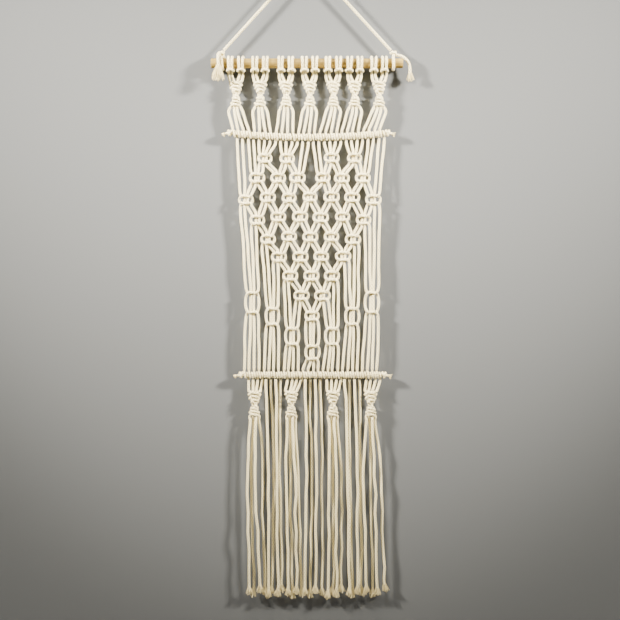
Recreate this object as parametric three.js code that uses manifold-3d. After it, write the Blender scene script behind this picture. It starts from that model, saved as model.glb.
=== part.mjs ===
// Macramé wall hanging: a wooden dowel on a hanging cord, carrying a textile that is knotted from
// 14 folded cotton cords: lark's heads, spiral sinnets, a row of double half hitches, a diamond net
// of square knots, seven drop knots, a second row of hitches, four more sinnets and a fringe.
// Millimetres, +Z up, +X to the viewer's right, +Y towards the wall. The origin is the nail point,
// where the bend of the hanging cord rests on the nail.
import * as THREE from "three";
import { mergeVertices } from "three/addons/utils/BufferGeometryUtils.js";
import Module from "manifold-3d";

const wasm = await Module();
wasm.setup();

// --- Driving dimensions ---------------------------------------------------------------------
const CORD_D = 3.5; // working cords and carrier cords, braided cotton
const HANGER_D = 3.9; // hanging cord, braided cotton
const GAP = 0.3; // clearance between touching pieces
const DOWEL_D = 12.7; // half-inch dowel
const DOWEL_L = 256;
const DOWEL_DROP = 134; // nail point to the dowel's axis
const DOWEL_CHAMFER = 0.8;
const HANG_BEND_R = 8; // bend of the hanging cord over the nail
const TIE_X = [-114.5, 115]; // where the hanging cord is tied to the dowel
const TIE_KNOT_R = 4.6;
const HEAD_GROUP_X = [-95, -62.5, -28, 3.5, 35, 63.5, 96]; // pairs of lark's heads along the dowel
const HEAD_OFFSET = 7; // each head from the middle of its pair
const HEAD_BAR_W = 12; // the bar in front of a lark's head
const SINNET_TOP_W = 16.4; // spiral sinnet: wide, twisted narrow, wide again
const SINNET_WAIST_W = 6.8;
const SINNET_FOOT_W = 14.5;
const SINNET_L = 39;
const UPPER_SINNET_DROP = 22; // dowel axis to the top of an upper sinnet
const UPPER_ROW = { drop: 93.5, sag: 5, centre: 2.3, pitch: 7.27 }; // upper row of half hitches
const HITCH_R = 5.4; // outside of a hitch round its carrier cord
const CARRIER_KNOT_R = 4.3; // overhand knot at each end of a carrier cord
const CARRIER_TIP_L = 6.5; // carrier cord beyond its knot
const KNOT_W = 20.5; // square knot of the net
const KNOT_H = 16;
const KNOT_BAR_R = 4.4; // each of its two half knots
const NET_TOP_DROP = UPPER_ROW.drop + 32.8; // dowel axis to the net's first row of knots
const NET_STEP = 26.3; // one row of the net to the next
const NET_PITCH = 28.3; // knots along a row
const NET_TOP_PITCH = 30; // along its first row
const NET_CENTRE = [4, 6.7]; // middle of the net at its widest row and at its last knot
const EDGE_DROOP = 3.5; // an edge knot hangs lower than its row
const MIDDLE_PART = 3; // the two knots beside the gap in the first row stand this much apart from it
// Rows of square knots from the top. A knot's column is 2j + 1 when it ties group j's own four
// strands, counted from 0, and 2j + 2 when it ties two strands of group j to two of the next.
const NET_ROWS = [
  [3, 5, 9, 11],
  [2, 4, 6, 8, 10, 12],
  [1, 3, 5, 7, 9, 11, 13],
  [2, 4, 6, 8, 10, 12],
  [3, 5, 7, 9, 11],
  [4, 6, 8, 10],
  [5, 7, 9],
  [6, 8],
  [7],
];
const NET_FOOT_DROP = NET_TOP_DROP + (NET_ROWS.length - 1) * NET_STEP; // to its last knot
const DROP_KNOT_CENTRE = 6.9;
const DROP_KNOT_PITCH = 26.6;
const DROP_KNOTS = [
  // from the textile's edge to its middle: how far the knot's middle is below the net's last knot,
  // and half the way between its half knots
  { below: -17.8, apart: 13 },
  { below: 0.8, apart: 10.3 },
  { below: 27.3, apart: 10.3 },
  { below: 48.8, apart: 8.5 },
];
const LOWER_ROW = { drop: NET_FOOT_DROP + 78.9, sag: 0, centre: 7.5, pitch: 6.55 }; // lower row
const LOWER_SINNET_X = { 1: -70, 3: -21, 5: 34.5, 7: 85 };
const LOWER_SINNET_DROP = LOWER_ROW.drop + 19.4; // to the top of a lower sinnet

const GROUPS = 7; // each of four strands
const STRANDS = 4;
const cordR = CORD_D / 2;
const hangerR = HANGER_D / 2;
const WRAP_SIDES = 12; // facets round a wrap
const ringR = DOWEL_D / 2 + GAP + CORD_D; // outside of a working cord wrapped round the dowel
const tieR = DOWEL_D / 2 + GAP + HANGER_D; // and of the hanging cord

const COTTON = { color: 0xe9e2cb, roughness: 0.95, metalness: 0 };
const PINE = { color: 0xd9c79a, roughness: 0.6, metalness: 0 };

// --- Shape helpers --------------------------------------------------------------------------
const at = (x, drop, y = 0) => new THREE.Vector3(x, y, -DOWEL_DROP - drop);
const mix = (a, b, t) => a + (b - a) * t;

function polygon(r, sides, squash = 1) {
  const shape = new THREE.Shape();
  for (let i = 0; i < sides; i++) {
    const a = ((i + 0.5) / sides) * 2 * Math.PI;
    const point = [r * Math.cos(a), r * squash * Math.sin(a)];
    if (i) shape.lineTo(...point);
    else shape.moveTo(...point);
  }
  shape.closePath();
  return shape;
}

// A cord along a smooth curve through its points, or a straight one between two.
function cord(points, { r = cordR, sides = 8, steps = 1 } = {}) {
  const path = points.length > 2 ? new THREE.CatmullRomCurve3(points) : new THREE.LineCurve3(...points);
  return new THREE.ExtrudeGeometry(polygon(r, sides), { extrudePath: path, steps, bevelEnabled: false });
}

// A strand, or a flat pair of them, that leaves and arrives straight down.
function strand(start, end, { pair = false, steps = 2 } = {}) {
  const ease = new THREE.Vector3(0, 0, 0.4 * (end.z - start.z));
  const path = new THREE.CubicBezierCurve3(start, start.clone().add(ease), end.clone().sub(ease), end);
  const section = polygon(cordR * 1.2, 4, pair ? 2 : 1);
  return new THREE.ExtrudeGeometry(section, { extrudePath: path, steps, bevelEnabled: false });
}

// A solid turned about the vertical: profile pairs are [radius, drop below the dowel's axis].
function turned(x, profile, { y = 0, flat = 1, segments = 8 } = {}) {
  const points = profile.map(([r, drop]) => new THREE.Vector2(r, -DOWEL_DROP - drop)).reverse();
  const shape = new THREE.LatheGeometry(points, segments);
  shape.rotateX(Math.PI / 2);
  shape.scale(1, flat, 1);
  return shape.translate(x, y, 0);
}

// A ring round the dowel, where cord is wrapped over it.
function wrap(x, width, r = ringR) {
  const section = new THREE.Shape();
  section.absarc(0, 0, r, 0, 2 * Math.PI);
  const bore = new THREE.Path();
  bore.absarc(0, 0, (DOWEL_D / 2 + GAP) / Math.cos(Math.PI / WRAP_SIDES), 0, 2 * Math.PI, true);
  section.holes.push(bore);
  const options = { depth: width, curveSegments: WRAP_SIDES / 2, bevelEnabled: false };
  const ring = new THREE.ExtrudeGeometry(section, options);
  return ring.rotateY(Math.PI / 2).translate(x - width / 2, 0, -DOWEL_DROP);
}

function ball(centre, r, stretch = [1, 1, 1]) {
  return new THREE.SphereGeometry(r, 8, 6).scale(...stretch).translate(centre.x, centre.y, centre.z);
}

function toSolid(geometry) {
  const bare = geometry.clone();
  bare.deleteAttribute("normal");
  bare.deleteAttribute("uv");
  const merged = mergeVertices(bare, 1e-4);
  const vertProperties = Float32Array.from(merged.attributes.position.array);
  const triVerts = Uint32Array.from(merged.index.array);
  return new wasm.Manifold(new wasm.Mesh({ numProp: 3, vertProperties, triVerts }));
}

function joined(...geometries) {
  const whole = geometries.map(toSolid).reduce((sum, piece) => sum.add(piece));
  const mesh = whole.getMesh();
  const geometry = new THREE.BufferGeometry();
  geometry.setAttribute("position", new THREE.BufferAttribute(mesh.vertProperties, 3));
  geometry.setIndex(new THREE.BufferAttribute(mesh.triVerts, 1));
  return geometry;
}

const hanging = new THREE.Group();
function part(name, geometry, look = COTTON) {
  const mesh = new THREE.Mesh(geometry, new THREE.MeshStandardMaterial(look));
  mesh.name = name;
  hanging.add(mesh);
}

// --- Dowel ----------------------------------------------------------------------------------
const half = DOWEL_L / 2;
const rod = new THREE.LatheGeometry(
  [
    [0, -half],
    [DOWEL_D / 2 - DOWEL_CHAMFER, -half],
    [DOWEL_D / 2, -half + DOWEL_CHAMFER],
    [DOWEL_D / 2, half - DOWEL_CHAMFER],
    [DOWEL_D / 2 - DOWEL_CHAMFER, half],
    [0, half],
  ].map(([r, along]) => new THREE.Vector2(r, along)),
  18,
);
part("dowel", rod.rotateZ(-Math.PI / 2).translate(0, 0, -DOWEL_DROP), PINE);

// --- Hanging cord and its ties --------------------------------------------------------------
// The cord runs straight from each tie to the bend over the nail.
const tieKnots = TIE_X.map((x) => at(x, 1.5 - tieR - TIE_KNOT_R)); // each sits on its wraps
const bend = [-0.75, -0.4, 0, 0.4, 0.75].map((turn) => {
  return new THREE.Vector3(HANG_BEND_R * Math.sin(turn), 0, hangerR - HANG_BEND_R * (1 - Math.cos(turn)));
});
const feet = [0, 4].map((last, i) => {
  const run = bend[last].clone().sub(tieKnots[i]).normalize();
  return tieKnots[i].clone().addScaledVector(run, TIE_KNOT_R + GAP);
});
const runs = [0.08, 0.35, 0.65, 0.92];
const hangerRoute = [
  feet[0],
  ...runs.map((t) => feet[0].clone().lerp(bend[0], t)),
  ...bend,
  ...runs.map((t) => bend[4].clone().lerp(feet[1], t)),
  feet[1],
];
part("hanger_cord", cord(hangerRoute, { r: hangerR, steps: 24 }));

const tieWidth = [10, HANGER_D + 0.4]; // three wraps on the left, one on the right
for (const [i, side] of ["left", "right"].entries()) {
  part(`hanger_tie_${side}`, joined(wrap(TIE_X[i], tieWidth[i], tieR), ball(tieKnots[i], TIE_KNOT_R)));
}

// The left tail is a short tassel in front of the dowel; the right one trails over the dowel's end.
const tassel = new THREE.CylinderGeometry(2, 6.5, 17, 8).scale(1, 1, 0.45).rotateX(Math.PI / 2);
part("hanger_tail_left", tassel.translate(TIE_X[0] - 3, 0.65 - tieR, -DOWEL_DROP - 15));
const rightTail = [
  at(TIE_X[1] + TIE_KNOT_R + GAP + 0.2, -tieR - 0.4),
  at(half - 2, -DOWEL_D / 2 - hangerR - 1.3),
  at(half + 6.5, -2.5),
  at(half + 9.5, 9),
  at(half + 8.5, 20.5),
];
part("hanger_tail_right", cord(rightTail, { r: hangerR, steps: 8 }));

// --- Rows of double half hitches ------------------------------------------------------------
const rowX = (row, strand) => row.centre + (strand - (GROUPS * STRANDS - 1) / 2) * row.pitch;
const rowHalf = (row) => (GROUPS * STRANDS * row.pitch) / 2 - 1.6;
const rowDrop = (row, x) => row.drop + row.sag * (1 - ((x - row.centre) / rowHalf(row)) ** 2);

function hitchRow(row) {
  const ends = [-1, -0.66, -0.33, 0, 0.33, 0.66, 1].map((t) => row.centre + t * rowHalf(row));
  const section = polygon(HITCH_R, 10);
  const bore = new THREE.Path(polygon(cordR + 0.7, 8).getPoints().reverse());
  section.holes.push(bore);
  const path = new THREE.CatmullRomCurve3(ends.map((x) => at(x, rowDrop(row, x))));
  const steps = row.sag ? 8 : 2;
  return new THREE.ExtrudeGeometry(section, { extrudePath: path, steps, bevelEnabled: false });
}

function carrierCord(row) {
  const knotX = rowHalf(row) + CARRIER_KNOT_R + GAP + 0.2;
  const tipX = knotX + CARRIER_KNOT_R + CARRIER_TIP_L;
  const stops = [-tipX, ...[-1, -0.66, -0.33, 0, 0.33, 0.66, 1].map((t) => t * rowHalf(row)), tipX];
  const points = stops.map((x) => at(row.centre + x, rowDrop(row, row.centre + x)));
  const knots = [-knotX, knotX].map((x) => {
    return ball(at(row.centre + x, rowDrop(row, row.centre + x)), CARRIER_KNOT_R);
  });
  return joined(cord(points, { steps: row.sag ? 10 : 3 }), ...knots);
}

part("hitch_row_upper", hitchRow(UPPER_ROW));
part("carrier_cord_upper", carrierCord(UPPER_ROW));
part("hitch_row_lower", hitchRow(LOWER_ROW));
part("carrier_cord_lower", carrierCord(LOWER_ROW));

const aboveRow = (row, x) => rowDrop(row, x) - HITCH_R - GAP;
const belowRow = (row, x) => rowDrop(row, x) + HITCH_R + GAP;

// --- Sinnets --------------------------------------------------------------------------------
// A spiral of half knots, drawn here as a waisted spindle.
function sinnet(x, drop) {
  const top = SINNET_TOP_W / 2;
  const waist = SINNET_WAIST_W / 2;
  const foot = SINNET_FOOT_W / 2;
  const profile = [
    [0, drop],
    [top, drop + 2],
    [top, drop + 7],
    [waist, drop + 0.5 * SINNET_L],
    [waist, drop + 0.7 * SINNET_L],
    [foot, drop + SINNET_L - 5],
    [foot - 1, drop + SINNET_L],
    [0, drop + SINNET_L],
  ];
  return turned(x, profile, { flat: 0.55 });
}

const spread = (strand, width) => (strand - (STRANDS - 1) / 2) * (width / (STRANDS - 1));

function headerGroup(j) {
  const x = HEAD_GROUP_X[j];
  const pieces = [sinnet(x, UPPER_SINNET_DROP)];
  for (const side of [-1, 1]) {
    const head = x + side * HEAD_OFFSET;
    pieces.push(wrap(head, 2 * CORD_D + 1.5));
    const y = -ringR * 0.5;
    const drop = ringR * 0.86;
    const bar = [at(head - HEAD_BAR_W / 2, drop, y), at(head + HEAD_BAR_W / 2, drop, y)];
    pieces.push(cord(bar, { r: cordR + 0.4, sides: 6 }));
    for (const leg of [-1, 1]) {
      const foot = at(x + side * 4.6 + leg * 1.6, UPPER_SINNET_DROP + 4);
      pieces.push(strand(at(head + leg * 2.4, ringR - 2), foot, { steps: 1 }));
    }
  }
  for (let s = 0; s < STRANDS; s++) {
    const end = rowX(UPPER_ROW, j * STRANDS + s);
    const start = at(x + spread(s, SINNET_FOOT_W - CORD_D), UPPER_SINNET_DROP + SINNET_L - 5);
    pieces.push(strand(start, at(end, aboveRow(UPPER_ROW, end))));
  }
  return joined(...pieces);
}
for (let j = 0; j < GROUPS; j++) part(`header_group_${j + 1}`, headerGroup(j));

// --- Diamond net ----------------------------------------------------------------------------
const WIDEST = 2;
const PAIRS = 2 * GROUPS; // strands 2q and 2q + 1 run together through the net
const barRise = KNOT_BAR_R * Math.cos(Math.PI / 6);
const barOffset = KNOT_H / 2 - barRise;
const portX = KNOT_W / 2 - 4.2; // where a pair meets a knot, from the knot's middle

function netKnot(row, column) {
  const below = Math.max(0, row - WIDEST) / (NET_ROWS.length - 1 - WIDEST);
  const pitch = row ? NET_PITCH : NET_TOP_PITCH;
  const middle = PAIRS / 2;
  let x = mix(...NET_CENTRE, below) + ((column - middle) * pitch) / 2;
  if (row === 1 && Math.abs(column - middle) === 1) x += (column - middle) * MIDDLE_PART;
  const edge = column === NET_ROWS[row][0] || column === NET_ROWS[row].at(-1);
  const droop = edge && row >= WIDEST && row <= WIDEST + 2 ? EDGE_DROOP : 0;
  return { x, drop: NET_TOP_DROP + row * NET_STEP + droop };
}

function bar(x, drop) {
  const ends = [at(x - KNOT_W / 2, drop), at(x + KNOT_W / 2, drop)];
  return cord(ends, { r: KNOT_BAR_R, sides: 6 });
}

// The knots that pair q passes through, from the top, and the side of each that it takes.
function pairStops(q) {
  const stops = [];
  for (const [row, columns] of NET_ROWS.entries()) {
    const column = columns[0] % 2 ? q + 1 - (q % 2) : q + (q % 2);
    if (!columns.includes(column)) continue;
    const side = q % 2 === (column % 2 ? 0 : 1) ? -1 : 1;
    stops.push({ ...netKnot(row, column), side });
  }
  return stops;
}

function diamondNet() {
  const pieces = [];
  for (const [row, columns] of NET_ROWS.entries()) {
    for (const column of columns) {
      const { x, drop } = netKnot(row, column);
      pieces.push(bar(x, drop - barOffset), bar(x, drop + barOffset));
      pieces.push(strand(at(x, drop - barOffset), at(x, drop + barOffset), { pair: true, steps: 1 }));
    }
  }
  for (let q = 0; q < PAIRS; q++) {
    const stops = pairStops(q);
    const reach = KNOT_H / 2 - 2;
    for (let i = 0; i < 2; i++) {
      const x = rowX(UPPER_ROW, 2 * q + i);
      const end = at(stops[0].x + stops[0].side * portX + (i - 0.5) * CORD_D, stops[0].drop - reach);
      pieces.push(strand(at(x, belowRow(UPPER_ROW, x)), end));
    }
    for (let k = 1; k < stops.length; k++) {
      const [from, to] = [stops[k - 1], stops[k]];
      const start = at(from.x + from.side * portX, from.drop + reach);
      pieces.push(strand(start, at(to.x + to.side * portX, to.drop - reach), { pair: true, steps: 1 }));
    }
  }
  return joined(...pieces);
}
part("diamond_net", diamondNet());

// --- Drop knots -----------------------------------------------------------------------------
// One long square knot for each group, its two half knots apart with the strands bowed between.
function dropKnot(j) {
  const x = DROP_KNOT_CENTRE + (j - (GROUPS - 1) / 2) * DROP_KNOT_PITCH;
  const { below, apart } = DROP_KNOTS[Math.min(j, GROUPS - 1 - j)];
  const drop = NET_FOOT_DROP + below;
  const pieces = [bar(x, drop - apart), bar(x, drop + apart)];
  pieces.push(strand(at(x, drop - apart), at(x, drop + apart), { pair: true, steps: 1 }));
  for (const side of [-1, 1]) {
    const bow = [-apart, 0, apart].map((d) => at(x + side * (d ? portX + 1 : KNOT_W / 2 - 1), drop + d));
    pieces.push(cord(bow, { sides: 5, steps: 4 }));
    const last = pairStops(2 * j + (side + 1) / 2).at(-1);
    const released = at(last.x + last.side * portX, last.drop + KNOT_H / 2 + GAP);
    pieces.push(strand(released, at(x + side * (CORD_D + 0.6), drop - apart), { pair: true }));
  }
  for (let s = 0; s < STRANDS; s++) {
    const end = rowX(LOWER_ROW, j * STRANDS + s);
    const start = at(x + spread(s, SINNET_FOOT_W - CORD_D), drop + apart);
    pieces.push(strand(start, at(end, aboveRow(LOWER_ROW, end))));
  }
  return joined(...pieces);
}
for (let j = 0; j < GROUPS; j++) part(`drop_knot_${j + 1}`, dropKnot(j));

// --- Fringe ---------------------------------------------------------------------------------
function lowerSinnet(group) {
  const x = LOWER_SINNET_X[group];
  const pieces = [sinnet(x, LOWER_SINNET_DROP)];
  for (let s = 0; s < STRANDS; s++) {
    const start = rowX(LOWER_ROW, (group - 1) * STRANDS + s);
    const end = at(x + spread(s, SINNET_TOP_W - CORD_D), LOWER_SINNET_DROP + 4);
    pieces.push(strand(at(start, belowRow(LOWER_ROW, start)), end));
  }
  return joined(...pieces);
}
for (const group of Object.keys(LOWER_SINNET_X)) part(`lower_sinnet_${group}`, lowerSinnet(Number(group)));

// Each free strand hangs from its sinnet, or from the row of hitches, through these places:
// [x at mid length, x at the end, length below the lower row of hitches].
const FRINGE = [
  [-79.7, -76.7, 284.4], [-74.3, -70.8, 288.4], [-70.1, -62.6, 282.4], [-58.9, -56.5, 286.4],
  [-51.7, -51, 289.4], [-44.3, -46.5, 284.4], [-40, -38.8, 287.4], [-36, -34.1, 282.4],
  [-27.3, -24.9, 286.4], [-22.5, -19.1, 290.4], [-15.7, -14, 284.4], [-11.6, -7.6, 288.4],
  [-0.8, -2.7, 285.4], [6, 4.7, 289.4], [12.7, 11.2, 283.4], [20.3, 19.9, 287.4],
  [29.3, 28, 290.4], [35, 34.4, 285.4], [38.7, 39.1, 288.4], [45.9, 45.2, 282.4],
  [54.7, 56.5, 286.4], [58, 61, 289.4], [67, 67.5, 284.4], [71.2, 73, 287.4],
  [75.6, 79.5, 283.4], [84.9, 87.9, 288.4], [90.7, 93.6, 285.4], [98.7, 103.7, 281.4],
];
const FRINGE_MID_DROP = LOWER_ROW.drop + 129.4;
const FRINGE_LAYER = 2; // strands hang in front of and behind the textile's plane by turns

for (const [n, [midX, endX, length]] of FRINGE.entries()) {
  const group = Math.floor(n / STRANDS) + 1;
  const y = n % 2 ? FRINGE_LAYER : -FRINGE_LAYER;
  const sinnetX = LOWER_SINNET_X[group];
  const start = sinnetX === undefined
    ? at(rowX(LOWER_ROW, n), belowRow(LOWER_ROW, rowX(LOWER_ROW, n)), y)
    : at(sinnetX + spread(n % STRANDS, SINNET_FOOT_W - CORD_D), LOWER_SINNET_DROP + SINNET_L + GAP, y);
  const startDrop = -DOWEL_DROP - start.z;
  const endDrop = LOWER_ROW.drop + length;
  const route = [
    start,
    at(mix(start.x, midX, 0.12), startDrop + 12, y),
    at(mix(start.x, midX, 0.75), mix(startDrop, FRINGE_MID_DROP, 0.65), y),
    at(midX, FRINGE_MID_DROP, y),
    at(mix(midX, endX, 0.45), mix(FRINGE_MID_DROP, endDrop, 0.5), y),
    at(endX, endDrop, y),
  ];
  part(`fringe_strand_${String(n + 1).padStart(2, "0")}`, cord(route, { steps: 8 }));
}

export default hanging;
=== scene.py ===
import math

import bmesh
import bpy
import numpy as np
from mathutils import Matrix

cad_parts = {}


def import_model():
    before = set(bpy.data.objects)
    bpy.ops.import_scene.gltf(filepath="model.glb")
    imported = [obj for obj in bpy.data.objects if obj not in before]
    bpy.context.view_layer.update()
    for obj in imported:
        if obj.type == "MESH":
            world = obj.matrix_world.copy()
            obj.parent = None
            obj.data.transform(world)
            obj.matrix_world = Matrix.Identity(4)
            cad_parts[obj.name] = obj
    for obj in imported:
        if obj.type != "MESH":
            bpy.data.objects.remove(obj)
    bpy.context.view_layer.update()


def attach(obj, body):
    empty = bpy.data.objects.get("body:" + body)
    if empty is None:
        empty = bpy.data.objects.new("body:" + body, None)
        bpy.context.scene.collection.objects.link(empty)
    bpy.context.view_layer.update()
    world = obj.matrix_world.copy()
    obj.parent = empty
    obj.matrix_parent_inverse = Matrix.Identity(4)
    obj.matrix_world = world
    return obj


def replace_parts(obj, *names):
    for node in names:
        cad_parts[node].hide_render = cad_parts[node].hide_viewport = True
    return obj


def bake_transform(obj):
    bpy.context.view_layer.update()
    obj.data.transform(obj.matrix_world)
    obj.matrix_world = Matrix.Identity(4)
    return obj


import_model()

# A macramé wall hanging: a dowel on a hanging cord, and 28 strands of cotton cord knotted into
# sinnets, two rows of half hitches, a diamond net of square knots and a fringe.
# Places on the textile are (x, y, drop) in millimetres: +x to the viewer's right, +y to the wall,
# drop below the dowel's axis. world() turns them into the frame's metres.

# --- Sizes, as the CAD model has them: millimetres, and drops below the dowel's axis -----------
MM = 0.001
CORD_D = 3.5  # working cords and carrier cords
HANGER_D = 3.9  # hanging cord
R = CORD_D / 2
HANGER_R = HANGER_D / 2
GAP = 0.3  # between touching pieces
DOWEL_D = 12.7
DOWEL_L = 256
DOWEL_DROP = 134  # nail point to the dowel's axis
HANG_BEND_R = 8  # bend of the hanging cord over the nail
TIE_X = (-114.5, 115)  # where the hanging cord is tied to the dowel
TIE_KNOT_R = 4.6
TIE_R = DOWEL_D / 2 + GAP + HANGER_D  # outside of the hanging cord wrapped round the dowel
HEAD_GROUP_X = (-95, -62.5, -28, 3.5, 35, 63.5, 96)  # pairs of lark's heads along the dowel
HEAD_OFFSET = 7  # each head from the middle of its pair
SINNET_L = 39
SINNET_FOOT_W = 14.5
UPPER_SINNET_DROP = 22
UPPER_ROW = {"drop": 93.5, "sag": 5, "centre": 2.3, "pitch": 7.27}  # upper row of half hitches
HITCH_R = 5.4  # outside of a hitch round its carrier cord
CARRIER_KNOT_R = 4.3
CARRIER_TIP_L = 6.5
NET_TOP_DROP = UPPER_ROW["drop"] + 32.8  # the net's first row of knots
NET_STEP = 26.3  # one row of the net to the next
NET_PITCH = 28.3  # knots along a row
NET_TOP_PITCH = 30  # along its first row
NET_CENTRE = (4, 6.7)  # middle of the net at its widest row and at its last knot
EDGE_DROOP = 3.5  # edge knots of the widest row and the next two hang this much lower
MIDDLE_PART = 3  # the second row's two middle knots are each pushed out by this much
GROUPS = 7  # each of four strands
STRANDS = 4
# Columns of the net's square knots, row by row: 2j + 1 ties group j's own four strands, counted
# from 0, and 2j + 2 ties two strands of group j to two of the next.
NET_ROWS = (
    (3, 5, 9, 11), (2, 4, 6, 8, 10, 12), (1, 3, 5, 7, 9, 11, 13), (2, 4, 6, 8, 10, 12),
    (3, 5, 7, 9, 11), (4, 6, 8, 10), (5, 7, 9), (6, 8), (7,),
)
WIDEST = 2  # the row with the most knots
NET_FOOT_DROP = NET_TOP_DROP + (len(NET_ROWS) - 1) * NET_STEP
DROP_KNOT_CENTRE = 6.9
DROP_KNOT_PITCH = 26.6
# From the textile's edge to its middle: how far a drop knot is below the net's last knot, and half
# the way between its half knots.
DROP_KNOTS = ((-17.8, 13), (0.8, 10.3), (27.3, 10.3), (48.8, 8.5))
LOWER_ROW = {"drop": NET_FOOT_DROP + 78.9, "sag": 0, "centre": 7.5, "pitch": 6.55}
LOWER_SINNET_X = {1: -70, 3: -21, 5: 34.5, 7: 85}
LOWER_SINNET_DROP = LOWER_ROW["drop"] + 19.4
# Each strand of the fringe: x at its middle, x at its end, and its end below the lower row.
FRINGE = (
    (-79.7, -76.7, 284.4), (-74.3, -70.8, 288.4), (-70.1, -62.6, 282.4), (-58.9, -56.5, 286.4),
    (-51.7, -51, 289.4), (-44.3, -46.5, 284.4), (-40, -38.8, 287.4), (-36, -34.1, 282.4),
    (-27.3, -24.9, 286.4), (-22.5, -19.1, 290.4), (-15.7, -14, 284.4), (-11.6, -7.6, 288.4),
    (-0.8, -2.7, 285.4), (6, 4.7, 289.4), (12.7, 11.2, 283.4), (20.3, 19.9, 287.4),
    (29.3, 28, 290.4), (35, 34.4, 285.4), (38.7, 39.1, 288.4), (45.9, 45.2, 282.4),
    (54.7, 56.5, 286.4), (58, 61, 289.4), (67, 67.5, 284.4), (71.2, 73, 287.4),
    (75.6, 79.5, 283.4), (84.9, 87.9, 288.4), (90.7, 93.6, 285.4), (98.7, 103.7, 281.4),
)
FRINGE_MID_DROP = LOWER_ROW["drop"] + 129.4
FRINGE_LAYER = 2  # strands hang in front of and behind the textile's plane by turns

STEP = 1.2  # along a cord, from one ring of its mesh to the next
SIDES = 12  # round a cord
rng = np.random.default_rng(7)  # for the hand-made unevenness


def mix(a, b, t):
    return a + (b - a) * t


def world(points):
    points = np.asarray(points, dtype=float)
    return np.column_stack((points[:, 0], points[:, 1], -DOWEL_DROP - points[:, 2])) * MM


# --- Camera, first --------------------------------------------------------------------------
VIEW_WIDTH = 0.827  # what the camera takes in at the textile's plane, in metres
VIEW_CENTRE = (0.004, -0.463)
LENS_MM = 70
SENSOR_MM = 36
camera = bpy.data.objects.new("camera", bpy.data.cameras.new("camera"))
camera.data.lens = LENS_MM
camera.data.sensor_width = SENSOR_MM
camera.location = (VIEW_CENTRE[0], -VIEW_WIDTH * LENS_MM / SENSOR_MM, VIEW_CENTRE[1])
camera.rotation_euler = (math.pi / 2, 0, 0)
bpy.context.scene.collection.objects.link(camera)
bpy.context.scene.camera = camera


# --- Nodes and materials --------------------------------------------------------------------
def add(tree, kind, links=None, **settings):
    """A node with its settings; links maps an input's name or number to a socket or a value."""
    node = tree.nodes.new(kind)
    for name, value in settings.items():
        setattr(node, name, value)
    for name, value in (links or {}).items():
        socket = node.inputs[name]
        if isinstance(value, bpy.types.NodeSocket):
            tree.links.new(value, socket)
        else:
            socket.default_value = value
    return node


def linear(hex_colour):
    channels = [int(hex_colour[i : i + 2], 16) / 255 for i in (1, 3, 5)]
    return [c / 12.92 if c <= 0.04045 else ((c + 0.055) / 1.055) ** 2.4 for c in channels] + [1.0]


def ramp(tree, factor, *stops):
    node = add(tree, "ShaderNodeValToRGB", {"Fac": factor})
    elements = node.color_ramp.elements
    for i, (place, colour) in enumerate(stops):
        element = elements[i] if i < 2 else elements.new(place)
        element.position = place
        element.color = linear(colour)
    return node.outputs["Color"]


def maths(tree, operation, a, b=0.0, c=0.0):
    return add(tree, "ShaderNodeMath", {0: a, 1: b, 2: c}, operation=operation).outputs[0]


def cells(size):
    """The noise scale that gives features of this size in millimetres."""
    return 1 / (size * MM)


BRAID_PITCH = 5.2  # from one stitch to the next along a cord
BRAID_YARNS = 4  # that turn each way


def braided_cotton():
    """Undyed cotton, braided: matt and cream, with a soft nap of loose fibres and cotton a little darker in
    random patches. The braid's slanted stitches are painted lighter and the grooves between them darker:
    painted highlight and painted shade, over the bump that gives them their relief."""
    material = bpy.data.materials.new("braided_undyed_cotton")
    material.use_nodes = True
    tree = material.node_tree
    shader = tree.nodes["Principled BSDF"]
    shader.inputs["Roughness"].default_value = 0.92
    shader.inputs["Sheen Weight"].default_value = 0.35
    shader.inputs["Sheen Roughness"].default_value = 0.5
    shader.inputs["Specular IOR Level"].default_value = 0.25
    lay = add(tree, "ShaderNodeAttribute", attribute_name="lay")
    parts = add(tree, "ShaderNodeSeparateXYZ", {0: lay.outputs["Vector"]})
    turn = maths(tree, "ARCTAN2", parts.outputs["Y"], parts.outputs["X"])
    stitches = maths(tree, "MULTIPLY", turn, float(BRAID_YARNS))
    climb = maths(tree, "MULTIPLY", parts.outputs["Z"], 2 * math.pi / (BRAID_PITCH * MM))
    right = maths(tree, "SINE", maths(tree, "ADD", stitches, climb))
    left = maths(tree, "SINE", maths(tree, "SUBTRACT", stitches, climb))
    stitch_relief_and_shade = maths(tree, "MAXIMUM", right, left)
    stitch_relief_and_shade = maths(tree, "MULTIPLY_ADD", stitch_relief_and_shade, 0.5, 0.5)
    where = add(tree, "ShaderNodeTexCoord").outputs["Object"]
    patches = add(tree, "ShaderNodeTexNoise", {"Vector": where, "Scale": cells(22.22), "Detail": 3.0})
    nap = add(tree, "ShaderNodeTexNoise", {"Vector": where, "Scale": cells(0.7143), "Detail": 2.0})
    # the braid pattern sets much of the colour: painted highlight on the stitches, painted shade in the
    # grooves
    tone = maths(tree, "MULTIPLY_ADD", stitch_relief_and_shade, 0.62, maths(tree, "MULTIPLY", patches.outputs["Fac"], 0.36))
    tone = maths(tree, "ADD", tone, maths(tree, "MULTIPLY", nap.outputs["Fac"], 0.2))
    colour = ramp(tree, tone, (0.2, "#82734A"), (0.55, "#DDCF9F"), (0.85, "#FCF3CC"))
    tree.links.new(colour, shader.inputs["Base Color"])
    height = maths(tree, "MULTIPLY_ADD", nap.outputs["Fac"], 0.35, stitch_relief_and_shade)
    bump = add(tree, "ShaderNodeBump", {"Height": height, "Strength": 0.9, "Distance": 0.0005})
    tree.links.new(bump.outputs["Normal"], shader.inputs["Normal"])
    return material


PINE_GRAIN = (cells(111.1), cells(2.381), cells(2.381))  # long streaks along the rod
PINE_PORES = (cells(16.67), cells(0.3846), cells(0.3846))


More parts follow.
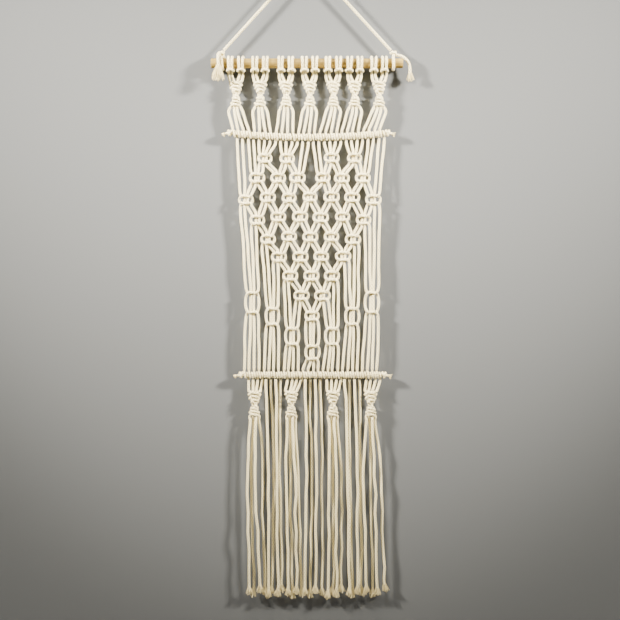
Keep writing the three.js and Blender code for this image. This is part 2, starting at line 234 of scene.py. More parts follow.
def sanded_pine():
    """Pine, turned and sanded: yellow and satin, with long faint grain along the rod, fine pores
    and a slight stain."""
    material = bpy.data.materials.new("sanded_pine")
    material.use_nodes = True
    tree = material.node_tree
    shader = tree.nodes["Principled BSDF"]
    shader.inputs["Roughness"].default_value = 0.55
    where = add(tree, "ShaderNodeTexCoord").outputs["Object"]
    along = add(tree, "ShaderNodeMapping", {"Vector": where, "Scale": PINE_GRAIN})
    grain = add(tree, "ShaderNodeTexNoise", {"Vector": along.outputs[0], "Scale": 1.0, "Detail": 5.0})
    grain = grain.outputs["Fac"]
    stretch = add(tree, "ShaderNodeMapping", {"Vector": where, "Scale": PINE_PORES})
    pores = add(tree, "ShaderNodeTexNoise", {"Vector": stretch.outputs[0], "Scale": 1.0, "Detail": 3.0})
    stain = add(tree, "ShaderNodeTexNoise", {"Vector": where, "Scale": cells(35.71), "Detail": 2.0})
    tone = maths(tree, "MULTIPLY_ADD", grain, 0.7, maths(tree, "MULTIPLY", stain.outputs["Fac"], 0.3))
    colour = ramp(tree, tone, (0.3, "#6B5726"), (0.5, "#8C7638"), (0.68, "#A8924C"))
    tree.links.new(colour, shader.inputs["Base Color"])
    height = maths(tree, "ADD", pores.outputs["Fac"], grain)
    bump = add(tree, "ShaderNodeBump", {"Height": height, "Strength": 0.3, "Distance": 0.0002})
    tree.links.new(bump.outputs["Normal"], shader.inputs["Normal"])
    return material


COTTON = braided_cotton()
PINE = sanded_pine()


# --- Cord sweep -----------------------------------------------------------------------------
def smooth(points, step=STEP):
    """A centripetal curve through points, cut into even steps."""
    points = np.asarray(points, dtype=float)
    ends = np.vstack((2 * points[0] - points[1], points, 2 * points[-1] - points[-2]))
    dense = []
    share = np.linspace(0, 1, 9)[:-1, None]
    for p0, p1, p2, p3 in zip(ends[:-3], ends[1:-2], ends[2:-1], ends[3:]):
        pairs = ((p0, p1), (p1, p2), (p2, p3))
        knots = np.cumsum([0] + [max(math.dist(a, b), 1e-4) ** 0.5 for a, b in pairs])
        t = knots[1] + share * (knots[2] - knots[1])
        a1 = ((knots[1] - t) * p0 + t * p1) / knots[1]
        a2 = ((knots[2] - t) * p1 + (t - knots[1]) * p2) / (knots[2] - knots[1])
        a3 = ((knots[3] - t) * p2 + (t - knots[2]) * p3) / (knots[3] - knots[2])
        b1 = ((knots[2] - t) * a1 + t * a2) / knots[2]
        b2 = ((knots[3] - t) * a2 + (t - knots[1]) * a3) / (knots[3] - knots[1])
        dense.append(((knots[2] - t) * b1 + (t - knots[1]) * b2) / (knots[2] - knots[1]))
    dense = np.vstack(dense + [points[-1:]])
    run = np.concatenate(([0], np.cumsum(np.linalg.norm(np.diff(dense, axis=0), axis=1))))
    even = np.linspace(0, run[-1], max(3, round(run[-1] / step) + 1))
    return np.column_stack([np.interp(even, run, dense[:, k]) for k in range(3)])


def sweep_tree():
    """Sweeps a round section along every open line of the mesh that it gets, and stores "lay":
    the place round the cord as a cosine and a sine, and the distance along it."""
    tree = bpy.data.node_groups.new("cord_sweep", "GeometryNodeTree")
    face = tree.interface
    face.new_socket("Lines", in_out="INPUT", socket_type="NodeSocketGeometry")
    face.new_socket("Sides", in_out="INPUT", socket_type="NodeSocketInt")
    face.new_socket("Material", in_out="INPUT", socket_type="NodeSocketMaterial")
    face.new_socket("Cord", in_out="OUTPUT", socket_type="NodeSocketGeometry")
    given = tree.nodes.new("NodeGroupInput").outputs
    thick = add(tree, "GeometryNodeInputNamedAttribute", {"Name": "thick"}, data_type="FLOAT")
    curve = add(tree, "GeometryNodeMeshToCurve", {"Mesh": given["Lines"]}).outputs[0]
    run = add(tree, "GeometryNodeSplineParameter").outputs["Length"]
    curve = add(
        tree, "GeometryNodeStoreNamedAttribute",
        {"Geometry": curve, "Name": "run", "Value": run}, data_type="FLOAT", domain="POINT",
    ).outputs[0]
    circle = add(tree, "GeometryNodeCurvePrimitiveCircle", {"Resolution": given["Sides"], "Radius": 1.0})
    place = add(tree, "GeometryNodeInputPosition").outputs[0]
    section = add(
        tree, "GeometryNodeStoreNamedAttribute",
        {"Geometry": circle.outputs[0], "Name": "turn", "Value": place},
        data_type="FLOAT_VECTOR", domain="POINT",
    ).outputs[0]
    swept = add(tree, "GeometryNodeCurveToMesh", {"Curve": curve, "Profile Curve": section,
                "Scale": thick.outputs[0], "Fill Caps": True}).outputs[0]
    turned = add(tree, "GeometryNodeInputNamedAttribute", {"Name": "turn"}, data_type="FLOAT_VECTOR")
    ran = add(tree, "GeometryNodeInputNamedAttribute", {"Name": "run"}, data_type="FLOAT")
    parts = add(tree, "ShaderNodeSeparateXYZ", {0: turned.outputs[0]}).outputs
    lay = add(tree, "ShaderNodeCombineXYZ", {0: parts[0], 1: parts[1], 2: ran.outputs[0]}).outputs[0]
    stored = add(
        tree, "GeometryNodeStoreNamedAttribute",
        {"Geometry": swept, "Name": "lay", "Value": lay}, data_type="FLOAT_VECTOR", domain="POINT",
    ).outputs[0]
    soft = add(tree, "GeometryNodeSetShadeSmooth", {0: stored}).outputs[0]
    real = add(tree, "GeometryNodeRealizeInstances", {0: soft}).outputs[0]
    done = add(tree, "GeometryNodeSetMaterial", {"Geometry": real, "Material": given["Material"]}).outputs[0]
    out = tree.nodes.new("NodeGroupOutput")
    tree.links.new(done, out.inputs[0])
    return tree


SWEEP = sweep_tree()


def run_tree(name, source, tree, **inputs):
    """The mesh that a tree makes of source, as a plain object called name."""
    holder = bpy.data.objects.new(name + "_lines", source)
    bpy.context.scene.collection.objects.link(holder)
    modifier = holder.modifiers.new("tree", "NODES")
    modifier.node_group = tree
    for item in tree.interface.items_tree:
        if item.in_out == "INPUT" and item.name in inputs:
            modifier[item.identifier] = inputs[item.name]
    evaluated = holder.evaluated_get(bpy.context.evaluated_depsgraph_get())
    mesh = bpy.data.meshes.new_from_object(evaluated)
    bpy.data.objects.remove(holder)
    for spare in ("run", "turn", "thick", "flow"):
        if spare in mesh.attributes:
            mesh.attributes.remove(mesh.attributes[spare])
    mesh.name = name
    piece = bpy.data.objects.new(name, mesh)
    bpy.context.scene.collection.objects.link(piece)
    return piece


def cords(name, lines):
    """One piece of several cords; each line is (points along it in mm, thickness there in mm)."""
    points = np.vstack([world(line) for line, _ in lines])
    thick = np.concatenate([np.broadcast_to(r, len(line)) for line, r in lines]) * MM
    edges, first = [], 0
    for line, _ in lines:
        edges += [(i, i + 1) for i in range(first, first + len(line) - 1)]
        first += len(line)
    mesh = bpy.data.meshes.new(name + "_lines")
    mesh.from_pydata(points.tolist(), edges, [])
    mesh.attributes.new("thick", "FLOAT", "POINT").data.foreach_set("value", thick.astype(np.float32))
    return run_tree(name, mesh, SWEEP, Sides=SIDES, Material=COTTON)


def wander(line, most=0.33, wave=22.0):
    """The small unevenness of a hand-pulled cord, none at its ends."""
    n = len(line)
    knots = max(4, int(n * STEP / wave) + 2)
    places = np.linspace(0, n - 1, knots)
    fade = np.minimum(1, np.minimum(np.arange(n), np.arange(n)[::-1]) / 8)
    push = [np.interp(np.arange(n), places, rng.normal(0, most, knots)) for _ in range(2)]
    return line + np.column_stack((push[0] * fade, push[1] * fade, np.zeros(n)))


def fray_tree():
    """A cut cord's loose yarns: each point of the mesh that it gets grows bent threads along
    "flow", leaning apart by chance."""
    tree = bpy.data.node_groups.new("cord_fray", "GeometryNodeTree")
    face = tree.interface
    sockets = (("Ends", "Geometry"), ("Yarns", "Int"), ("Length", "Float"), ("Spread", "Float"),
               ("Bundle", "Float"), ("Yarn Radius", "Float"), ("Seed", "Int"), ("Material", "Material"))
    for name, kind in sockets:
        face.new_socket(name, in_out="INPUT", socket_type="NodeSocket" + kind)
    face.new_socket("Fray", in_out="OUTPUT", socket_type="NodeSocketGeometry")
    given = tree.nodes.new("NodeGroupInput").outputs

    def chance(low, high, kind, more):
        first = 0 if kind == "FLOAT_VECTOR" else 2
        seed = add(tree, "ShaderNodeMath", {0: given["Seed"], 1: more}, operation="ADD").outputs[0]
        links = {first: low, first + 1: high, "Seed": seed}
        node = add(tree, "FunctionNodeRandomValue", links, data_type=kind)
        return node.outputs[0 if kind == "FLOAT_VECTOR" else 1]

    def scaled(vector, by):
        return add(tree, "ShaderNodeVectorMath", {0: vector, "Scale": by}, operation="SCALE").outputs[0]

    points = add(tree, "GeometryNodeMeshToPoints", {"Mesh": given["Ends"]}).outputs[0]
    grown = add(tree, "GeometryNodeDuplicateElements", {"Geometry": points, "Amount": given["Yarns"]},
                domain="POINT").outputs[0]
    flow = add(tree, "GeometryNodeInputNamedAttribute", {"Name": "flow"}, data_type="FLOAT_VECTOR").outputs[0]
    aside = chance((-1, -1, -1), (1, 1, 1), "FLOAT_VECTOR", 1)
    lean = scaled(aside, given["Spread"])
    way = add(tree, "ShaderNodeVectorMath", {0: flow, 1: lean}, operation="ADD").outputs[0]
    apart = chance((-1, -1, -1), (1, 1, 1), "FLOAT_VECTOR", 2)
    root = scaled(apart, given["Bundle"])
    moved = add(tree, "GeometryNodeSetPosition", {"Geometry": grown, "Offset": root}).outputs[0]
    aimed = add(tree, "FunctionNodeAlignRotationToVector", {"Vector": way}, axis="Z").outputs[0]
    spin = add(tree, "ShaderNodeCombineXYZ", {2: chance(0.0, 2 * math.pi, "FLOAT", 3)}).outputs[0]
    turned = add(tree, "FunctionNodeRotateRotation", {0: aimed, 1: spin}, rotation_space="LOCAL").outputs[0]
    thread = add(tree, "GeometryNodeCurvePrimitiveBezierSegment", {
        "Resolution": 5, "Start": (0, 0, 0), "Start Handle": (0, 0, 0.35), "End Handle": (0.16, 0, 0.7),
        "End": (0.12, 0, 1)}).outputs[0]
    share = chance(0.6, 1.0, "FLOAT", 4)
    long = add(tree, "ShaderNodeMath", {0: share, 1: given["Length"]}, operation="MULTIPLY").outputs[0]
    placed = add(tree, "GeometryNodeInstanceOnPoints", {
        "Points": moved, "Instance": thread, "Rotation": turned, "Scale": long}).outputs[0]
    threads = add(tree, "GeometryNodeRealizeInstances", {0: placed}).outputs[0]
    circle = add(tree, "GeometryNodeCurvePrimitiveCircle", {"Resolution": 4, "Radius": given["Yarn Radius"]})
    yarns = add(tree, "GeometryNodeCurveToMesh", {
        "Curve": threads, "Profile Curve": circle.outputs[0], "Fill Caps": True}).outputs[0]
    soft = add(tree, "GeometryNodeSetShadeSmooth", {0: yarns}).outputs[0]
    real = add(tree, "GeometryNodeRealizeInstances", {0: soft}).outputs[0]
    done = add(tree, "GeometryNodeSetMaterial", {"Geometry": real, "Material": given["Material"]}).outputs[0]
    tree.links.new(done, tree.nodes.new("NodeGroupOutput").inputs[0])
    return tree


FRAY = fray_tree()
YARN_R = 0.33  # a yarn of the braid


def fray(name, ends, body, length, spread, yarns, bundle=1.2):
    """Loose yarns at cut ends; each end is (point, direction), both in x, y and drop."""
    mesh = bpy.data.meshes.new(name + "_ends")
    mesh.from_pydata(world([point for point, _ in ends]).tolist(), [], [])
    ways = np.array([(x, y, -drop) for _, (x, y, drop) in ends], dtype=np.float32)
    mesh.attributes.new("flow", "FLOAT_VECTOR", "POINT").data.foreach_set("vector", ways.ravel())
    piece = run_tree(name, mesh, FRAY, **{
        "Yarns": yarns, "Length": length * MM, "Spread": spread, "Bundle": bundle * MM,
        "Yarn Radius": YARN_R * MM, "Seed": len(name) + len(ends), "Material": COTTON})
    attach(piece, body)
    return piece


# --- Hitches, knots and sinnets -------------------------------------------------------------
def row_x(row, strand):
    return row["centre"] + (strand - (GROUPS * STRANDS - 1) / 2) * row["pitch"]


def row_half(row):
    return GROUPS * STRANDS * row["pitch"] / 2 - 1.6


def row_drop(row, x):
    return row["drop"] + row["sag"] * (1 - ((x - row["centre"]) / row_half(row)) ** 2)


WIND_R = HITCH_R - 1.8  # the middle of a hitching strand, from the carrier's axis
HITCH_UNEVEN = 0.5  # some hitches are pulled tighter than others
HITCH_GROOVE = 0.4  # off a winding's radius, so that a groove shows beside it


def hitch(row, strand, first=-50, last=560):
    """A double half hitch: the strand comes over the carrier cord and passes in front of it twice."""
    x, quarter = row_x(row, strand), row["pitch"] / 4
    points = []
    for angle in range(first, last + 1, 35):
        t = math.radians(angle)
        shift = quarter * (angle - 270) / 180
        wind = WIND_R + HITCH_UNEVEN * (0.6 * math.sin(strand * 2.3 + angle / 97) + math.cos(t / 2))
        points.append((x + shift, -wind * math.sin(t), row_drop(row, x) - wind * math.cos(t)))
    return points


def hitch_thickness(row, line, full=R):
    """Strands are squeezed where they lie side by side on a carrier cord."""
    away = np.abs(line[:, 2] - row_drop(row, line[:, 0]))
    squeezed = row["pitch"] / 4 - HITCH_GROOVE
    return np.where(away < HITCH_R + 3, mix(squeezed, full, np.clip((away - HITCH_R) / 3, 0, 1)), full)


def front_worker(w, a=0.0):
    """The worker that crosses in front of the two fillers, from left to right."""
    return [(-w, 1.0, a - 2.6), (-w * 0.9, 0.8, a - 1.7), (-3.5, -2.1, a - 0.7), (0, -3.9, a),
            (3.5, -2.1, a + 0.7), (w * 0.9, 1.0, a + 1.7), (w, 0.8, a + 2.6)]


def back_worker(w, a=0.0):
    """The other worker: in front of the first at both sides, and behind the fillers."""
    return [(w, -1.4, a - 2.6), (w * 0.9, -2.6, a - 1.6), (3.5, 1.6, a - 0.5), (0, 3.8, a),
            (-3.5, 1.6, a + 0.5), (-w * 0.9, -2.6, a + 1.6), (-w, -1.4, a + 2.6)]


BAR_SLANT = 0.5  # a half knot's bar falls this much from its middle to its end
FILLER_X = 1.95  # the two fillers of a knot, each from its middle


def square_knot(x, drop, apart, w=7.6):
    """The four strands of a square knot, left to right. Its left worker makes both front bars."""
    ear = w + 1.0 + 0.03 * apart
    out = w + 0.5
    left = [(-out, 0.6, -apart - 3.8), (-w * 0.84, 0.8, -apart - BAR_SLANT), (-3.6, -2.3, -apart - 0.5),
            (0, -4.1, -apart), (3.6, -2.3, -apart + 0.5), (w * 0.88, 1.1, -apart + BAR_SLANT),
            (ear, 0.6, -apart * 0.5), (ear, 0.6, apart * 0.5), (w * 0.88, 1.1, apart - BAR_SLANT),
            (3.6, -2.3, apart - 0.5), (0, -4.1, apart), (-3.6, -2.3, apart + 0.5),
            (-w * 0.84, 0.8, apart + BAR_SLANT), (-out, 0.6, apart + 3.8)]
    right = [(out, -1.4, -apart - 3.8), (w * 0.82, -2.7, -apart - BAR_SLANT), (3.6, 1.6, -apart - 0.3),
             (0, 3.9, -apart), (-3.6, 1.6, -apart + 0.3), (-w * 0.82, -2.7, -apart + BAR_SLANT),
             (-ear, -0.8, -apart * 0.5), (-ear, -0.8, apart * 0.5), (-w * 0.82, -2.7, apart - BAR_SLANT),
             (-3.6, 1.6, apart - 0.3), (0, 3.9, apart), (3.6, 1.6, apart + 0.3),
             (w * 0.82, -2.7, apart + BAR_SLANT), (out, -1.4, apart + 3.8)]
    fillers = [[(side * FILLER_X, 0, place) for place in (-apart - 4, -apart, 0, apart, apart + 4)]
               for side in (-1, 1)]
    strands = [left, fillers[0], fillers[1], right]
    return [[(x + px, py, drop + pd) for px, py, pd in strand] for strand in strands]


# A sinnet's half knots: how far down, how many degrees it has turned there, and half the width.
SINNET_KNOTS = (
    (4.4, 0, 7.6), (9.3, 14, 6.8), (14.2, 36, 5.6),
    (24.8, 126, 4.6), (29.0, 150, 5.2), (33.4, 174, 6.2),
)
SINNET_WAIST = ((17.6, 62), (19.5, 81), (21.4, 100))  # between its third and fourth
WAIST_PLACES = ((-2.2, 0), (0, 1.8), (0, -1.8), (2.2, 0))  # the strands there, left to right
SINNET_FILLER_X = 2.0


def sinnet(x, top):
    """The four strands of a spiral sinnet: three half knots, a twisted waist and three more half
    knots, which turn it half round, so that each strand leaves on the other side."""
    local = [[], [], [], []]
    for n, (down, angle, w) in enumerate(SINNET_KNOTS):
        if n == 3:
            for place, twist in SINNET_WAIST:
                for s, (px, py) in enumerate(WAIST_PLACES):
                    local[s].append((px, py, place, twist))
        front, back = (0, 3) if n % 2 == 0 else (3, 0)
        local[front] += [(*p, angle) for p in front_worker(w, down)]
        local[back] += [(*p, angle) for p in back_worker(w, down)]
        for s, side in ((1, -1), (2, 1)):
            px = side * SINNET_FILLER_X
            local[s] += [(px, 0, down - 1.5, angle - 4), (px, 0, down + 1.5, angle + 4)]
    strands = []
    for points in local:
        turned = []
        for px, py, down, angle in points:
            c, s = math.cos(math.radians(angle)), math.sin(math.radians(angle))
            turned.append((x + px * c - py * s, px * s + py * c, top + down))
        strands.append(turned)
    return strands


# --- Hanging cord ---------------------------------------------------------------------------
def tie_knot(i):
    return np.array((TIE_X[i], 0, 1.5 - TIE_R - TIE_KNOT_R))


def hanger_route():
    bend = [(HANG_BEND_R * math.sin(t), 0, -DOWEL_DROP - HANGER_R + HANG_BEND_R * (1 - math.cos(t)))
            for t in (-0.75, -0.4, 0, 0.4, 0.75)]
    feet = []
    for i, last in enumerate((0, 4)):
        run = np.array(bend[last]) - tie_knot(i)
        feet.append(tie_knot(i) + run / np.linalg.norm(run) * (TIE_KNOT_R + GAP))
    shares = (0.08, 0.35, 0.65, 0.92)
    up = [mix(feet[0], np.array(bend[0]), t) for t in shares]
    down = [mix(np.array(bend[4]), feet[1], t) for t in shares]
    return [feet[0], *up, *bend, *down, feet[1]]


hanger_line = smooth(hanger_route())
hanger_cord = cords("hanger_cord_braid", [(hanger_line, HANGER_R)])
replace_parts(hanger_cord, "hanger_cord")
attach(hanger_cord, "hanger")


def round_dowel(x, radius, first, last, shift=0.0, every=30):
    """Points round the dowel; angles from its bottom towards the front."""
    count = max(2, round(abs(last - first) / every) + 1)
    return [(x + shift * t, -radius * math.sin(math.radians(a)), radius * math.cos(math.radians(a)))
            for t, a in zip(np.linspace(0, 1, count), np.linspace(first, last, count))]


WRAP_R = DOWEL_D / 2 + R + 0.15  # a working cord's axis, round the dowel
TIE_WRAP_R = DOWEL_D / 2 + HANGER_R + 0.15


def tie_lines(i):
    """The hanging cord's end: round the dowel, then round itself in a small knot."""
    knot = tie_knot(i)
    side = (1, -1)[i]
    turns, width = ((2, 7.6), (1, 0))[i]  # two turns on the left end, one on the right
    start = knot + np.array((side * 2.4, 0, -2.6))
    wrap = round_dowel(TIE_X[i] - width / 2, TIE_WRAP_R, 150, -150 - 360 * (turns - 1), width)
    curl = []
    for a in range(-60, 400, 45):
        t = math.radians(a)
        curl.append(knot + np.array((3.0 * math.cos(t), -3.0 * math.sin(t), 0.5 - 0.004 * a)))
    return [tuple(start), tuple(knot + np.array((0, 0, 0.6)))] + wrap + [tuple(p) for p in curl]


half = DOWEL_L / 2
PULLED = 0.97  # a tied cord is a little thinner
LEFT_TAIL = [(-117.5, -6, -12), (-118, -10.6, -7), (-117.6, -12.3, 0), (-117.4, -11.4, 6)]
RIGHT_TAIL = [
    (TIE_X[1] + TIE_KNOT_R - 1.5, 0, -TIE_R - 0.6), (half - 2, 0, -DOWEL_D / 2 - HANGER_R - 1.3),
    (half + 6.5, 0, -2.5), (half + 9.5, 0, 9), (half + 9.0, 0, 13.5),
]
TASSEL_FOOT = (-10.6, 5.0)  # y and drop where the left tail's yarns come apart
TASSEL_LEANS = ((-4.6, -0.22), (-2.9, -0.05), (-1.2, 0.1))  # x from the tie, and the way out
hanger_ends = {
    "hanger_tie_left": (tie_lines(0) + LEFT_TAIL, PULLED),
    "hanger_tie_right": (tie_lines(1), PULLED),
    "hanger_tail_right": (RIGHT_TAIL, 1),
}
for node, (points, pulled) in hanger_ends.items():
    piece = cords(node + "_braid", [(smooth(points), HANGER_R * pulled)])
    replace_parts(piece, node)
    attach(piece, "hanger")
tassel = [((TIE_X[0] + dx, *TASSEL_FOOT), (lean, 0, 1)) for dx, lean in TASSEL_LEANS]
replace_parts(fray("hanger_tassel_left", tassel, "hanger", 20, 0.17, 60, 1.4), "hanger_tail_left")
fray("hanger_fray_right", [((half + 9.2, 0, 9.5), (0.12, 0, 1))], "hanger", 15, 0.27, 70)


# --- Header: lark's heads, upper sinnets and the upper row of hitches ------------------------
def lark_half(head, side):
    """Half of a lark's head, from the tail below the dowel to the middle of its front bar."""
    x = head + side * 2.2
    rise = [(x, -0.5, 17), (x, -1.6, 12.5), (x, -5.0, 8.2)]
    over = round_dowel(x, WRAP_R, 62, 332, side * 1.7)
    bar = [(head + side * 4.0, -5.2, 11.4), (head + side * 2.7, -9.0, 10.3), (head, -9.7, 9.7)]
    return rise + over + bar


SHOULDER_X = 9.2  # outer strands stand this far out below a sinnet


def header_cords(j):
    x = HEAD_GROUP_X[j]
    knotted = sinnet(x, UPPER_SINNET_DROP)
    tails = []
    for s in range(STRANDS):
        out = hitch(UPPER_ROW, j * STRANDS + STRANDS - 1 - s)
        goal = np.array(out[0])
        last = np.array(knotted[s][-1])
        out_x = x + (1 if last[0] > x else -1) * (SHOULDER_X if s in (0, 3) else 2.4)
        ease = [(out_x, 0.2, last[2] + 5.5), (mix(out_x, goal[0], 0.55), 0.5, mix(last[2], goal[2], 0.6)),
                (mix(out_x, goal[0], 0.95), 0.8, mix(last[2], goal[2], 0.88))]
        tails.append(knotted[s] + ease + out)
    lines = []
    for side, (outer, inner) in ((-1, (0, 1)), (1, (3, 2))):
        head = x + side * HEAD_OFFSET
        one = lark_half(head, side)
        other = lark_half(head, -side)
        whole = tails[outer][::-1] + one + other[::-1][1:] + tails[inner]
        line = wander(smooth(whole))
        lines.append((line, hitch_thickness(UPPER_ROW, line)))
    return cords(f"header_cords_{j + 1}", lines)


for j in range(GROUPS):
    piece = header_cords(j)
    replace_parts(piece, f"header_group_{j + 1}", *(["hitch_row_upper"] if j == 3 else []))
    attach(piece, "header")


def carrier(name, node, body, row):
    knot_x = row_half(row) + CARRIER_KNOT_R + GAP + 0.2
    tip_x = knot_x + CARRIER_KNOT_R + CARRIER_TIP_L
    points = [(row["centre"] + t * row_half(row), 0) for t in np.linspace(-1, 1, 9)]
    line = [(x, y, row_drop(row, x)) for x, y in points]
    for side, extend in ((-1, lambda p: line.insert(0, p)), (1, line.append)):
        mid = row["centre"] + side * knot_x
        level = row_drop(row, mid)
        extend((mid + side * 1.5, 0, level + 0.3))
        for a in range(0, 420, 45):
            t = math.radians(a)
            extend((mid + side * (2.2 - 0.0105 * a), -3.1 * math.sin(t), level - 3.1 * math.cos(t)))
        extend((mid + side * 1.5, -2.9, level + 0.5))
        extend((mid + side * (CARRIER_KNOT_R + 1), -0.8, level + 0.6))
        extend((row["centre"] + side * (tip_x - 5.5), 0, level + 0.8))
    piece = cords(name, [(smooth(line), R * 0.95)])
    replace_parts(piece, node)
    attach(piece, body)
    tips = [(line[0], (-1, 0, 0.35)), (line[-1], (1, 0, 0.35))]
    fray(name + "_tips", tips, body, 5.5, 0.42, 34, 1.1)


carrier("upper_carrier_braid", "carrier_cord_upper", "header", UPPER_ROW)
carrier("lower_carrier_braid", "carrier_cord_lower", "net", LOWER_ROW)


# --- Net: square knots, drop knots and the lower row of hitches ------------------------------
def net_knot(row, column):
    below = max(0, row - WIDEST) / (len(NET_ROWS) - 1 - WIDEST)
    pitch = NET_PITCH if row else NET_TOP_PITCH
    x = mix(*NET_CENTRE, below) + (column - GROUPS) * pitch / 2
    if row == 1 and abs(column - GROUPS) == 1:
        x += (column - GROUPS) * MIDDLE_PART
    edge = column in (NET_ROWS[row][0], NET_ROWS[row][-1])
    droop = EDGE_DROOP if edge and WIDEST <= row <= WIDEST + 2 else 0
    return x, NET_TOP_DROP + row * NET_STEP + droop


net_knots = {}
for r, columns in enumerate(NET_ROWS):
    for column in columns:
        x, drop = net_knot(r, column)
        size = rng.uniform(0.94, 1.05)
        x, drop = x + rng.uniform(-0.7, 0.7), drop + rng.uniform(-0.8, 0.8)
        net_knots[r, column] = square_knot(x, drop, 4.9 * size, 7.2 * size)


def knots_of(strand):
    """The knots of the net that a strand passes through, as its points in each."""
    pair = strand // 2
    found = []
    for r, columns in enumerate(NET_ROWS):
        column = pair + 1 - pair % 2 if columns[0] % 2 else pair + pair % 2
        if column in columns:
            own = column % 2 == 1
            place = strand % STRANDS if own else (strand + 2) % STRANDS
            found.append(net_knots[r, column][place])
    return found


def net_cords(j):
    below, apart = DROP_KNOTS[min(j, GROUPS - 1 - j)]
    x = DROP_KNOT_CENTRE + (j - (GROUPS - 1) / 2) * DROP_KNOT_PITCH
    drop_knot = square_knot(x, NET_FOOT_DROP + below, apart, 7.3)
    lines = []
    for s in range(STRANDS):
        strand = j * STRANDS + s
        points = hitch(UPPER_ROW, strand, first=505)
        start = points[-1]
        points.append((start[0], 1.2, start[2] + 6))
        for stretch in knots_of(strand) + [drop_knot[s]]:
            gap = stretch[0][2] - points[-1][2]
            if gap > 30:
                points.append((mix(points[-1][0], stretch[0][0], 0.5), 0.5, points[-1][2] + gap / 2))
            points += stretch
        out = hitch(LOWER_ROW, strand)
        points.append((mix(points[-1][0], out[0][0], 0.9), 0.8, out[0][2] - 6))
        line = wander(smooth(points + out))
        thick = np.minimum(hitch_thickness(UPPER_ROW, line), hitch_thickness(LOWER_ROW, line))
        thick[:6] *= np.linspace(0.75, 1, 6)
        lines.append((line, thick))
    return cords(f"net_cords_{j + 1}", lines)


for j in range(GROUPS):
    piece = net_cords(j)
    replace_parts(piece, f"drop_knot_{j + 1}", *(["diamond_net", "hitch_row_lower"] if j == 3 else []))
    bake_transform(piece)


def lower_sinnet(group):
    x = LOWER_SINNET_X[group]
    lines = []
    for s, knotted in enumerate(sinnet(x, LOWER_SINNET_DROP)):
        strand = (group - 1) * STRANDS + s
        out = hitch(LOWER_ROW, strand, first=505)
        joint = (mix(out[-1][0], knotted[0][0], 0.4), 1.0, mix(out[-1][2], knotted[0][2], 0.5))
        place = (STRANDS - 1 - s - 1.5) * (SINNET_FOOT_W - CORD_D) / (STRANDS - 1)
        layer = FRINGE_LAYER if (strand + 1) % 2 == 0 else -FRINGE_LAYER
        end = (x + place, -layer, LOWER_SINNET_DROP + SINNET_L + 1.5)
        line = wander(smooth(out + [joint] + knotted + [end]))
        lines.append((line, hitch_thickness(LOWER_ROW, line) * 0.99))
    piece = cords(f"lower_sinnet_cords_{group}", lines)
    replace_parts(piece, f"lower_sinnet_{group}")
    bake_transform(piece)


for group in LOWER_SINNET_X:
    lower_sinnet(group)


def fringe_line(n):
    group = n // STRANDS + 1
    mid_x, end_x, below = FRINGE[n]
    end_drop = LOWER_ROW["drop"] + below
    y = FRINGE_LAYER if n % 2 else -FRINGE_LAYER
    x = LOWER_SINNET_X.get(group)
    if x is None:
        start_x = row_x(LOWER_ROW, n)
        start = (start_x, y, row_drop(LOWER_ROW, start_x) + HITCH_R + GAP)
    else:
        place = (n % STRANDS - 1.5) * (SINNET_FOOT_W - CORD_D) / (STRANDS - 1)
        start = (x + place, y, LOWER_SINNET_DROP + SINNET_L + GAP)
    route = [
        start,
        (mix(start[0], mid_x, 0.12), y, start[2] + 12),
        (mix(start[0], mid_x, 0.75), y, mix(start[2], FRINGE_MID_DROP, 0.65)),
        (mid_x, y, FRINGE_MID_DROP),
        (mix(mid_x, end_x, 0.45), y, mix(FRINGE_MID_DROP, end_drop, 0.5)),
        (end_x, y, end_drop),
    ]
    return wander(smooth(route), 0.6, 26)


fringe_ends = {}  # body: its strands' cut ends
for n in range(GROUPS * STRANDS):
    group = n // STRANDS + 1
    line = fringe_line(n)
    name = f"fringe_strand_{n + 1:02d}"
    fringe_ends.setdefault(f"fringe_{group}", []).append((line[-5], line[-1] - line[-9]))
    piece = cords(name + "_braid", [(line, R)])
    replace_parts(piece, name)
    if group in LOWER_SINNET_X:
        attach(piece, f"fringe_{group}")
    else:
        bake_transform(piece)


for body, ends in fringe_ends.items():
    ends = [(tuple(point), tuple(way / np.linalg.norm(way))) for point, way in ends]
    fray(body + "_fray", ends, body, 13, 0.3, 60)


# --- Dowel ----------------------------------------------------------------------------------
def dowel():
    """A rod with eased ends, made by turning its outline round its axis."""
    around, ease = 48, 1.0
    outline = [(-half, 0.0)]
    outline += [(-half + ease * (1 - math.cos(t)), DOWEL_D / 2 - ease + ease * math.sin(t))
                for t in np.linspace(0, math.pi / 2, 5)]
    outline += [(x, DOWEL_D / 2 - 0.02 * math.sin(x * 0.31)) for x in np.linspace(-half + 6, half - 6, 60)]
    outline += [(-x, r) for x, r in outline[:6][::-1]]
    points = [(x, r * math.cos(a), -DOWEL_DROP + r * math.sin(a)) for x, r in outline
              for a in np.linspace(0, 2 * math.pi, around, endpoint=False)]
    faces = []
    for i in range(len(outline) - 1):
        this, other = i * around, (i + 1) * around
        for k in range(around):
            after = (k + 1) % around
            faces.append((this + k, other + k, other + after, this + after))
    mesh = bpy.data.meshes.new("dowel_rod")
    mesh.from_pydata([tuple(c * MM for c in p) for p in points], [], faces)
    return mesh


mesh = dowel()
bm = bmesh.new()
bm.from_mesh(mesh)
bmesh.ops.remove_doubles(bm, verts=bm.verts, dist=1e-6)
bmesh.ops.recalc_face_normals(bm, faces=bm.faces)
for face in bm.faces:
    face.smooth = True
bm.to_mesh(mesh)
bm.free()
mesh.materials.append(PINE)
rod = bpy.data.objects.new("dowel_rod", mesh)
bpy.context.scene.collection.objects.link(rod)
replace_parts(rod, "dowel")
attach(rod, "dowel")


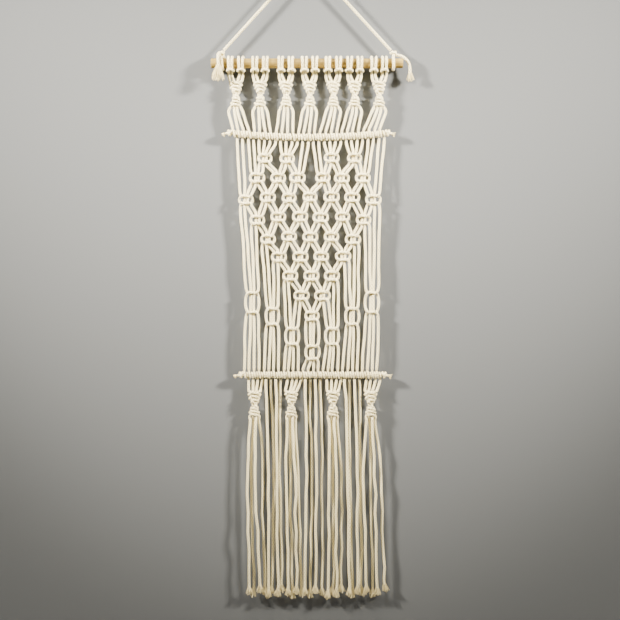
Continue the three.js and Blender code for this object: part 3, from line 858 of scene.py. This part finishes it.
# --- Stage and lights -----------------------------------------------------------------------
def plane(name, corners, material):
    mesh = bpy.data.meshes.new(name)
    mesh.from_pydata(corners, [], [(0, 1, 2, 3)])
    mesh.materials.append(material)
    sheet = bpy.data.objects.new(name, mesh)
    bpy.context.scene.collection.objects.link(sheet)


def plain(name, colour):
    material = bpy.data.materials.new(name)
    material.use_nodes = True
    shader = material.node_tree.nodes["Principled BSDF"]
    shader.inputs["Base Color"].default_value = linear(colour)
    shader.inputs["Roughness"].default_value = 0.95
    return material


def wall_paint():
    """Matt paint that shows to the camera from its front only, so that the hanging can be seen
    from behind. It is clear to every other ray: it bounces no light and casts no shadow."""
    material = plain("matt_wall_paint", "#5F636A")
    tree = material.node_tree
    back = add(tree, "ShaderNodeNewGeometry").outputs["Backfacing"]
    seen = add(tree, "ShaderNodeLightPath").outputs["Is Camera Ray"]
    hide = maths(tree, "MAXIMUM", back, maths(tree, "SUBTRACT", 1.0, seen))
    clear = add(tree, "ShaderNodeBsdfTransparent")
    both = add(tree, "ShaderNodeMixShader", {0: hide, 1: tree.nodes["Principled BSDF"].outputs[0],
               2: clear.outputs[0]})
    tree.links.new(both.outputs[0], tree.nodes["Material Output"].inputs["Surface"])
    return material


WALL_Y = 0.0125
FLOOR_Z = -0.98
WALL_HALF = 1.6
WALL_TOP = 0.9
FLOOR_HALF = 3
plane("wall", [(-WALL_HALF, WALL_Y, FLOOR_Z), (WALL_HALF, WALL_Y, FLOOR_Z),
               (WALL_HALF, WALL_Y, WALL_TOP), (-WALL_HALF, WALL_Y, WALL_TOP)], wall_paint())
plane("floor", [(x * FLOOR_HALF, y * FLOOR_HALF, FLOOR_Z) for x, y in ((-1, -1), (1, -1), (1, 1), (-1, 1))],
      plain("pale_floor", "#D9D7D2"))


def lamp(name, place, aim, size, watts, colour="#FFFFFF", spread=180):
    light = bpy.data.lights.new(name, "AREA")
    light.size = size
    light.energy = watts
    light.spread = math.radians(spread)
    light.color = linear(colour)[:3]
    holder = bpy.data.objects.new(name, light)
    holder.location = place
    way = np.array(aim) - np.array(place)
    way = way / np.linalg.norm(way)
    holder.rotation_euler = (math.acos(-way[2]), 0, math.atan2(way[1], way[0]) - math.pi / 2)
    bpy.context.scene.collection.objects.link(holder)


for side in (-1, 1):
    lamp(f"side_{side + 2}", (side * 1.35, -0.8, 0.3), (0, 0, -0.24), 0.2, 12, "#FFF4DC", 44)
lamp("top", (-0.08, -0.5, 0.55), (0, 0, -0.3), 0.25, 9, "#FFF6E2")
lamp("fill", (0.25, -1.7, 0.35), (0, 0, -0.2), 0.6, 1.4, "#FFF6E4")
lamp("back_fill", (-0.8, 1.6, 0.3), (0, 0, -0.4), 1.2, 6)
sky = bpy.data.worlds.new("studio")
sky.use_nodes = True
sky.node_tree.nodes["Background"].inputs["Color"].default_value = linear("#E4E6EA")
sky.node_tree.nodes["Background"].inputs["Strength"].default_value = 0.015
bpy.context.scene.world = sky
